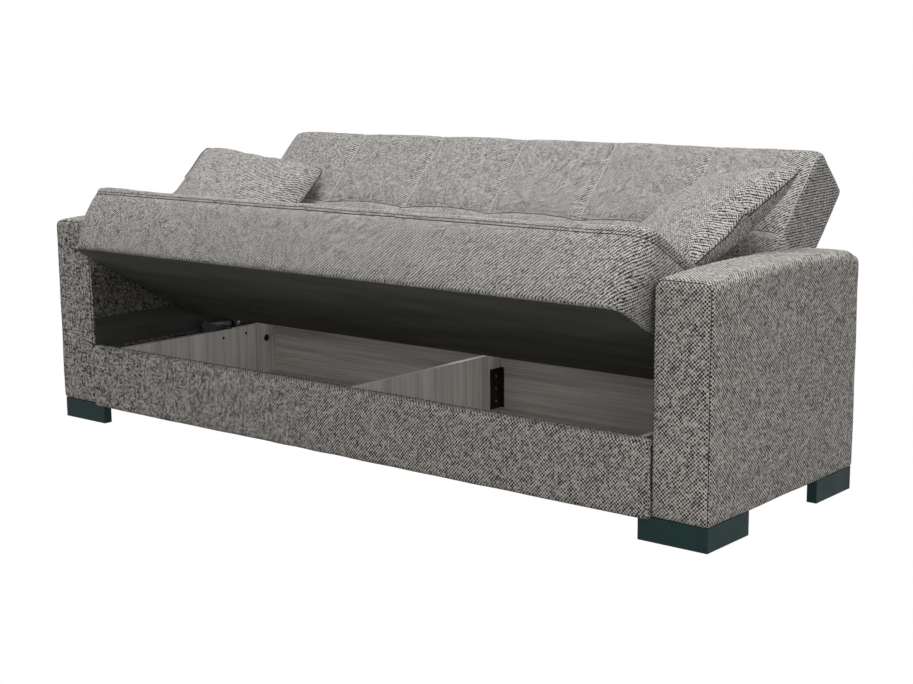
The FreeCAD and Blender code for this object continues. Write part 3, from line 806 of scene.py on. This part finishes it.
def seat_seam(name, drop, radius):
    """Level seam along the seat's front, round its corners and along its ends."""
    z = seat_high[2] - drop
    corner = 0.060
    rear = seat_high[1] - 0.03
    front = seat_low[1] + corner
    run = seat_high[0] - corner
    starts = []
    ways = []

    def along(places, way):
        starts.extend(places)
        ways.extend([way] * len(places))

    def round_corner(x, first):
        for k in range(9):
            angle = first + pi / 2 * k / 8
            out = Vector((-cos(angle), -sin(angle), 0))
            along([Vector((x, front, z)) + out * corner_ray_start], -out)

    ends = [rear - (rear - front) * k / 36 for k in range(36)]
    along([(seat_low[0] - ray_start, y, z) for y in ends], (1, 0, 0))
    round_corner(seat_low[0] + corner, 0)
    middle = [-run + 2 * run * k / 150 for k in range(1, 150)]
    along([(x, seat_low[1] - ray_start, z) for x in middle], (0, 1, 0))
    round_corner(run, pi / 2)
    along([(seat_high[0] + ray_start, y, z) for y in reversed(ends)], (-1, 0, 0))
    stitch(name, seat_piece, starts, ways, "thread", "seat", radius)


def back_seams():
    """Cross seam, welts between the columns, carried over the top to the rear, and welts at both ends."""
    outside = back_low[1] - ray_start
    over_top = 0.8 * pi
    run = back_high[0] - 0.02
    xs = [-run + 2 * run * k / 300 for k in range(301)]
    starts = [(x, outside, float(cross_seam(x))) for x in xs]
    stitch("back_cross_seam", back_piece, starts, (0, 1, 0), "thread", "back")
    centre = Vector((0, 0.02, back_high[2] - 0.07))
    for number, x in enumerate(seam_places):
        foot = float(cross_seam(x))
        starts = [(x, outside, foot + (centre.z - foot) * k / 30) for k in range(30)]
        ways = [(0, 1, 0)] * len(starts)
        for k in range(19):
            angle = over_top * k / 18
            out = Vector((0, -cos(angle), sin(angle)))
            starts.append(Vector((x, centre.y, centre.z)) + out * corner_ray_start)
            ways.append(-out)
        stitch("back_seam_%d" % (number + 1), back_piece, starts, ways, "welt", "back", welt_radius, 0.0008)
    for side, name in ((-1, "left_back_end_seam"), (1, "right_back_end_seam")):
        x = side * (back_high[0] - 0.008)
        zs = [back_low[2] + 0.03 + (back_high[2] - 0.05 - back_low[2]) * k / 40 for k in range(41)]
        starts = [(x, outside, z) for z in zs]
        stitch(name, back_piece, starts, (0, 1, 0), "welt", "back", end_welt_radius, 0.0004)


arm_seam(arm_pieces[0], "right_")
arm_seam(arm_pieces[1], "left_")
seat_seam("seat_welt_lower", seat_seam_drop, seam_radius)
seat_seam("seat_welt_upper", seat_seam_drop - 0.008, seam_radius * 0.7)
back_seams()


# Pillows
def pillow(side):
    """Two squares of cloth sewn round the edge and blown up, then laid in the corner."""
    count = 44
    half = pillow_cut / 2
    swell = 0.047
    fold_depth = 0.005
    fold_reach = 0.07
    corner_pull = 0.05
    arm_gap = 0.003
    seam_thickness = 0.0016
    points = []
    faces = []
    index = {}

    def corner(i, j, level):
        rim = i in (0, count) or j in (0, count)
        key = (i, j, 0 if rim else level)
        if key not in index:
            index[key] = len(points)
            u = 2 * i / count - 1
            v = 2 * j / count - 1
            lift = swell * ((1 - u * u) * (1 - v * v)) ** 0.62
            from_u = (1 - abs(u)) * half
            from_v = (1 - abs(v)) * half
            near = exp(-((from_u ** 2 + from_v ** 2) / fold_reach ** 2))
            phase = 3 * level + (2 if u > 0 else 0) + (1 if v > 0 else 0)
            fold = fold_depth * near * sin(9 * atan2(from_v, from_u + 0.001) + phase)
            pull = 1 - corner_pull * (u * v) ** 6
            points.append([u * half * pull, v * half * pull, 0 if rim else level * (lift + fold)])
        return index[key]

    for level in (1, -1):
        for i in range(count):
            for j in range(count):
                around = ((i, j), (i + 1, j), (i + 1, j + 1), (i, j + 1))
                quad = [corner(a, b, level) for a, b in around]
                faces.append(quad if level > 0 else quad[::-1])
    piece = mesh_object(side + "throw_pillow", points, faces, "seat_fabric")
    inflate(piece, frames=14, pressure=4.0, cap=0.02)
    subdivide(piece)
    mirror = 1 if side == "right_" else -1
    spin = Matrix.Rotation(mirror * pillow_spin, 4, "Z")
    tilt = Matrix.Rotation(pillow_tilt, 4, "X")
    turn = Matrix.Rotation(-mirror * pillow_turn, 4, "Z")
    centre = Vector((mirror * pillow_centre.x, pillow_centre.y, pillow_centre.z)) + pillow_shift[side]
    stand = Matrix.Translation(centre) @ turn @ tilt @ spin

    # What lies beside an arm when the seat is closed is pressed flat against it
    reach = abs(inner_arm_face) - arm_gap
    arm_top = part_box("right_arm_cover")[1].z + 2 * arm_gap
    for vertex in piece.data.vertices:
        place = stand @ vertex.co
        away = place - pivot
        height_closed = pivot.z + sin(seat_turn) * away.y + cos(seat_turn) * away.z
        if height_closed < arm_top:
            place.x = max(-reach, min(reach, place.x))
            vertex.co = stand.inverted() @ place
    piece.matrix_world = stand
    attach(piece, "seat")
    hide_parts(side + "pillow")
    keys = [(i, 0) for i in range(count)]
    keys += [(count, j) for j in range(count)]
    keys += [(i, count) for i in range(count, 0, -1)]
    keys += [(0, j) for j in range(count, 0, -1)]
    rim = [piece.data.vertices[index[(i, j, 0)]].co for i, j in keys]
    seam = tube(side + "pillow_seam", rim, seam_thickness, "thread", closed=True)
    seam.matrix_world = piece.matrix_world.copy()
    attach(seam, "seat")


pillow("right_")
pillow("left_")


# Lining under the seat
def dust_cloth():
    """Thin cloth under the seat frame, stapled round its edge. It sags a little behind the front panel."""
    inset = 0.004
    sag = 0.0025
    crease_depth = 0.0022
    swell_depth = 0.0015
    across = 150
    deep = 44
    rim_steps = 4
    x0 = seat_low[0] + inset
    x1 = seat_high[0] - inset
    y0 = seat_low[1] + inset
    y1 = seat_high[1] - seat_rear_slope - inset
    panel_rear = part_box("front_panel_cover")[1].y
    points = []
    for j in range(deep + 1):
        for i in range(across + 1):
            x = x0 + (x1 - x0) * i / across
            y = y0 + (y1 - y0) * j / deep
            free = min(i, across - i, rim_steps) / rim_steps * min(j, deep - j, rim_steps) / rim_steps
            free *= smooth_step(y, panel_rear + 0.004, panel_rear + 0.034)
            crease = noise.noise(Vector((x * 2.2 + y * 3.0, (y - 0.25 * x) * 16.0, 1.0)))
            swell = noise.noise(Vector((x * 1.5, y * 3.0, 9.0)))
            depth = free * (sag + crease_depth * crease + swell_depth * swell)
            points.append((x, y, seat_low[2] - 0.0012 - depth))
    faces = [(a, d, c, b) for a, b, c, d in grid_quads(across, deep)]
    piece = mesh_object("seat_lining", points, faces, "black_cloth")
    put_in_place(piece, seat_turn)
    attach(piece, "seat")
    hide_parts("seat_dust_cloth")


dust_cloth()


# Lift springs
def lift_spring(side):
    """Stretched coil with a hook at each end, between the anchor pin and the lever pin."""
    wire = 0.0012
    coil_radius = 0.0064
    eye = 0.0062
    steps_round = 12
    hook_turn = 1.75 * pi
    low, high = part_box(side + "lift_spring")
    lane = (low.x + high.x) / 2
    anchors = [v.co for v in frame["nodes"]["spring_anchor_pins"].data.vertices if v.co.x * lane > 0]
    levers = [v.co for v in frame["nodes"]["lever_pins"].data.vertices if v.co.x * lane > 0]
    start = sum(anchors, Vector()) / len(anchors)
    end = sum(levers, Vector()) / len(levers)
    start.x = lane
    end.x = lane
    axis = (end - start).normalized()
    out = Vector((1, 0, 0))
    side_way = axis.cross(out)
    coil_start = 2.2 * eye
    coil_length = (end - start).length - 2 * coil_start
    steps = int(coil_length / (3.0 * wire)) * steps_round
    path = []

    def hook(middle, first):
        for k in range(steps_round + 1):
            angle = first + hook_turn * k / steps_round
            path.append(middle + axis * (-cos(angle) * eye) + side_way * (sin(angle) * eye))

    hook(start, -0.75 * pi)
    for k in range(steps + 1):
        angle = 2 * pi * k / steps_round
        middle = start + axis * (coil_start + coil_length * k / steps)
        path.append(middle + side_way * (cos(angle) * coil_radius) + out * (sin(angle) * coil_radius))
    hook(end, 0.0)
    piece = tube(side + "coil_spring", path, wire, "zinc_steel")
    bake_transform(piece)
    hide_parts(side + "lift_spring")


lift_spring("right_")
lift_spring("left_")


# Screws and staples
def domes(name, places, slot, rider, radius, height, turn=None):
    """Round-headed screws in one mesh: each place is a point and the way its head looks out."""
    sides = 14
    profile = ((1.0, 0.0), (1.0, 0.35), (0.86, 0.72), (0.5, 0.95), (0.16, 0.98), (0.12, 0.55))
    points = []
    faces = []
    for place, way in places:
        out = Vector(way)
        side = out.orthogonal().normalized()
        other = out.cross(side)
        first = len(points)
        for across, up in profile:
            for k in range(sides):
                angle = 2 * pi * k / sides
                offset = (side * cos(angle) + other * sin(angle)) * radius * across
                points.append(Vector(place) + offset + out * height * up)
        for ring in range(len(profile) - 1):
            for k in range(sides):
                n = (k + 1) % sides
                a = first + ring * sides
                faces.append((a + k, a + n, a + sides + n, a + sides + k))
        last = first + (len(profile) - 1) * sides
        faces.append(tuple(last + k for k in range(sides)))
        faces.append(tuple(first + k for k in reversed(range(sides))))
    piece = mesh_object(name, points, faces, slot)
    if turn is not None:
        put_in_place(piece, turn)
    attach(piece, rider)


def on_both_sides(x, places, way=1):
    """The places at x and at -x. Heads look away from the middle, or with way -1 to the middle."""
    return [((sign * x, y, z), (sign * way, 0, 0)) for sign in (-1, 1) for y, z in places]


def fasteners():
    """Bolts, screws and plugs that are not in the CAD. Those of seat and back are drawn about the pivot."""
    plate = 0.003
    washer = 0.0015
    bolt_height = 0.172
    side_low, side_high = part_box("right_box_side")
    face = side_low.x
    bolts = [(y, bolt_height) for y in (-0.362, 0.2036)]
    washers = on_both_sides(face, bolts, -1)
    domes("spacer_washers", washers, "black_plastic", "base", radius=0.011, height=0.002)
    heads = on_both_sides(face - washer, bolts, -1)
    domes("spacer_bolts", heads, "black_plastic", "base", radius=0.006, height=0.004)
    tab_x = face + 0.008
    tab_top = side_high.z + plate
    tabs = [((sign * tab_x, y, tab_top), (0, 0, 1)) for sign in (-1, 1) for y in (-0.025, 0.045, 0.216)]
    domes("hinge_screws", tabs, "zinc_steel", "base", radius=0.0042, height=0.0026)
    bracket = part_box("partition_bracket")[0]
    bracket_y = bracket.y + 0.024
    plates = [((bracket.x + plate, bracket_y, z), (1, 0, 0)) for z in (0.085, 0.1215, 0.158)]
    domes("bracket_screws", plates, "zinc_steel", "base", radius=0.0045, height=0.0025)
    holes = [((-face, y, z), (1, 0, 0)) for y, z in ((0.0186, 0.197), (0.1146, 0.199))]
    domes("side_plugs", holes, "black_plastic", "base", radius=0.0045, height=0.0008)
    inner, outer = [corner.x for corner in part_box("right_seat_arm")]
    rail = on_both_sides(outer, [(y, -0.1185) for y in (-0.165, -0.112, -0.060)])
    domes("seat_arm_screws", rail, "zinc_steel", "seat", radius=0.005, height=0.003, turn=seat_turn)
    levers = on_both_sides(inner, [(0.1296, -0.1069)], -1)
    domes("lever_pin_heads", levers, "zinc_steel", "seat", radius=0.007, height=0.0045, turn=seat_turn)
    back_arm_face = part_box("right_back_arm")[1].x
    packing = on_both_sides(back_arm_face, [(0.0415, 0.105), (0.069, 0.175)])
    domes("back_arm_screws", packing, "zinc_steel", "back", radius=0.005, height=0.003, turn=back_turn)


def staples():
    """Staples that hold the panel's cloth down along its rear top edge."""
    low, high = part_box("front_panel_cover")
    spacing = 0.022
    margin = 0.02
    half_length = 0.0072
    half_width = 0.0022
    sunk = 0.0005
    proud = 0.0012
    row = high.y - 0.0085
    xs = [low.x + margin + spacing * k for k in range(int((high.x - low.x - 2 * margin) / spacing) + 1)]
    found = surface_points(panel_piece, [(x, row, high.z + 0.1) for x in xs], (0, 0, -1))
    points = []
    faces = []
    for place in found:
        first = len(points)
        for along, across in ((-1, -1), (1, -1), (1, 1), (-1, 1)):
            for height in (-sunk, proud):
                points.append(place + Vector((along * half_length, across * half_width, height)))
        for k in range(4):
            n = (k + 1) % 4
            faces.append((first + 2 * k, first + 2 * n, first + 2 * n + 1, first + 2 * k + 1))
        faces.append(tuple(first + 2 * k + 1 for k in range(4)))
        faces.append(tuple(first + 2 * k for k in reversed(range(4))))
    # The staples are real. Drawing them near black also paints the shade of the dark gap along the panel's
    # rear top edge.
    piece = mesh_object("panel_staples", points, faces, "black_cloth", smooth=False)
    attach(piece, "base")


fasteners()
staples()


# Arm liners
def liner(side):
    """Black cloth on the arm's inner face above the box, faintly rippled."""
    low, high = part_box(side + "arm_liner")
    inner = low.x if side == "right_" else high.x
    into_box = -1 if side == "right_" else 1
    ripple_depth = 0.0003
    across = 64
    rows = 12
    points = []
    for j in range(rows + 1):
        for i in range(across + 1):
            y = low.y + (high.y - low.y) * i / across
            z = low.z + (high.z - low.z) * j / rows
            ripple = ripple_depth * noise.noise(Vector((y * 9.0, z * 20.0, inner)))
            points.append((inner + ripple * into_box, y, z))
    faces = [quad[::into_box] for quad in grid_quads(across, rows)]
    piece = mesh_object(side + "arm_lining", points, faces, "black_cloth")
    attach(piece, "base")
    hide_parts(side + "arm_liner")


liner("right_")
liner("left_")


# Floor, light and camera
def floor():
    """Grey floor that gives soft shadows and bounce, and is white where the camera sees it."""
    size = 30.0
    points = [(-size, -size, 0), (size, -size, 0), (size, size, 0), (-size, size, 0)]
    mesh = bpy.data.meshes.new("floor")
    mesh.from_pydata(points, [], [(0, 1, 2, 3)])
    piece = bpy.data.objects.new("floor", mesh)
    bpy.context.scene.collection.objects.link(piece)
    material, graph, shader = new_material("floor")
    shader.inputs["Base Color"].default_value = rgb(0.2, 0.2, 0.2)
    shader.inputs["Roughness"].default_value = 0.9
    path = graph.node("LightPath").outputs
    seen = graph.math("MAXIMUM", path["Is Camera Ray"], path["Is Glossy Ray"])
    white = graph.node("Emission", {"Color": rgb(1, 1, 1), "Strength": 1.0}).outputs[0]
    shown = graph.node("MixShader", {0: seen, 1: shader.outputs[0], 2: white}).outputs[0]
    link(graph, shown, material.node_tree.nodes["Material Output"].inputs["Surface"])
    mesh.materials.append(material)


def world():
    """White background, weaker as a light than as seen."""
    light_strength = 0.47
    sky = bpy.data.worlds.new("studio")
    sky.use_nodes = True
    bpy.context.scene.world = sky
    graph = Graph(sky.node_tree)
    path = graph.node("LightPath").outputs
    seen = graph.math("MAXIMUM", path["Is Camera Ray"], path["Is Glossy Ray"])
    background = sky.node_tree.nodes["Background"]
    background.inputs["Color"].default_value = rgb(1, 1, 1)
    link(graph, graph.blend(seen, light_strength, 1.0), background.inputs["Strength"])


def area_light(name, place, aim, size, power):
    """Round lamp that shines from its place to its aim."""
    light = bpy.data.lights.new(name, "AREA")
    light.shape = "DISK"
    light.size = size
    light.energy = power
    holder = bpy.data.objects.new(name, light)
    bpy.context.scene.collection.objects.link(holder)
    holder.location = place
    holder.rotation_euler = (Vector(aim) - Vector(place)).to_track_quat("-Z", "Y").to_euler()


def camera():
    """Camera fitted to edge points of the photo: place, direction and focal length."""
    place = Vector((2.8613, pivot.y - 3.4533, 1.0869))
    yaw = 0.689432
    pitch = 0.178667
    roll = -0.007476
    lens = bpy.data.cameras.new("camera")
    lens.sensor_width = 36.0
    lens.lens = 64.25
    holder = bpy.data.objects.new("camera", lens)
    bpy.context.scene.collection.objects.link(holder)
    ahead = Vector((-sin(yaw) * cos(pitch), cos(yaw) * cos(pitch), -sin(pitch)))
    level_right = Vector((cos(yaw), sin(yaw), 0))
    level_up = level_right.cross(ahead)
    right = cos(roll) * level_right + sin(roll) * level_up
    up = cos(roll) * level_up - sin(roll) * level_right
    turn = Matrix((right, up, -ahead)).transposed().to_4x4()
    holder.matrix_world = Matrix.Translation(place) @ turn
    bpy.context.scene.camera = holder


floor()
world()
area_light("key", place=(0.4, -0.5, 5.2), aim=(0, 0, 0.4), size=3.0, power=160)
area_light("fill", place=(4.05, -3.15, 1.9), aim=(0, 0, 0.3), size=2.4, power=43)
camera()
bpy.context.scene.view_settings.view_transform = "Standard"
